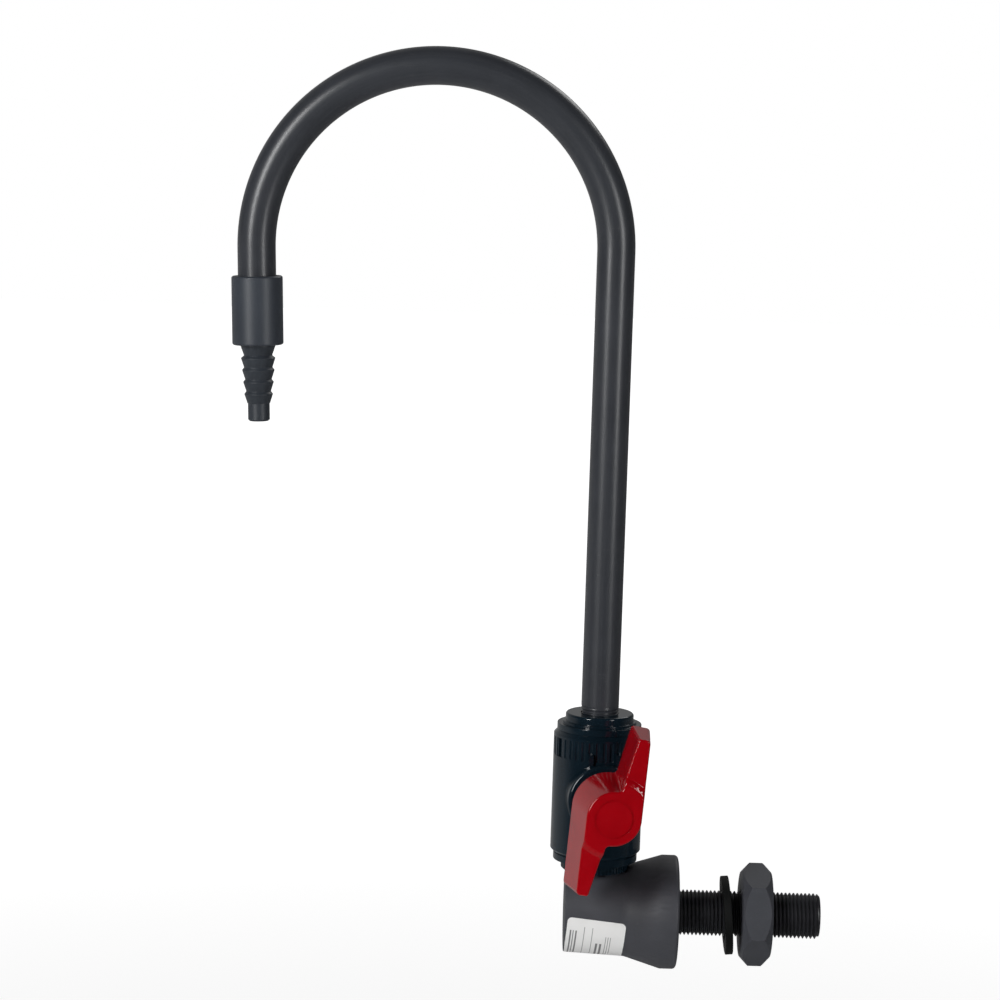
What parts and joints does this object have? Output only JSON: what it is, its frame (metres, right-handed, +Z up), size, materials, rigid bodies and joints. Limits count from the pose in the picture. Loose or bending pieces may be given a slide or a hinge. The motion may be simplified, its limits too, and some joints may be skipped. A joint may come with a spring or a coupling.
{
  "type": "wall-mounted gooseneck laboratory faucet",
  "caption": "Wall-mounted plastic laboratory faucet with a tall gooseneck, a quarter-turn ball valve, a stepped hose nozzle and a threaded shank with washer and lock nut.",
  "frame": {"origin": "middle of the flange's back face, on the axis of the shank, where the faucet meets the wall", "axes": "+X runs into the wall along the shank, +Z is up along the riser, and -Y is the side that the handle faces, so the gooseneck bends over towards -X"},
  "size_m": [0.2759, 0.0846, 0.4166],
  "materials": {
    "body_plastic": "matte",
    "shank_plastic": "satin",
    "pipe_plastic": "satin",
    "nozzle_plastic": "satin",
    "valve_plastic": "gloss",
    "handle_plastic": "gloss",
    "ball_plastic": "gloss",
    "seat_plastic": "matte",
    "washer_rubber": "matte",
    "seal_rubber": "matte"
  },
  "bodies": {
    "mounting": {"faucet_body": "body_plastic", "shank": "shank_plastic", "valve_nipple": "pipe_plastic", "valve_body": "valve_plastic", "lower_end_connector": "valve_plastic", "upper_end_connector": "valve_plastic", "lower_connector_o_ring": "seal_rubber", "upper_connector_o_ring": "seal_rubber", "lower_ball_seat": "seat_plastic", "upper_ball_seat": "seat_plastic", "gooseneck_tube": "pipe_plastic", "outlet_coupling": "pipe_plastic", "hose_nozzle": "nozzle_plastic"},
    "handle_and_ball": {"handle": "handle_plastic", "stem": "ball_plastic", "ball": "ball_plastic", "inner_stem_o_ring": "seal_rubber", "outer_stem_o_ring": "seal_rubber"},
    "washer": {"sealing_washer": "washer_rubber"},
    "nut": {"lock_nut": "body_plastic"}
  },
  "joints": [
    {"name": "handle_turn", "type": "hinge", "parent": "mounting", "child": "handle_and_ball", "pos_m": [-0.0385, 0, 0.056], "axis": [-0.1045, 0.9945, 0], "range_deg": [0, 90]},
    {"name": "washer_slide", "type": "slide", "parent": "mounting", "child": "washer", "axis": [1, 0, 0], "range_m": [-0.01814, 0.01814]},
    {"name": "nut_turn", "type": "hinge", "parent": "washer", "child": "nut", "pos_m": [0.0361, 0, 0], "axis": [1, 0, 0], "range_deg": [-3600, 3600]}
  ],
  "couplings": [
    {"joint": "nut_turn", "follows": "washer_slide", "rad_per_m": 3463.1}
  ]
}
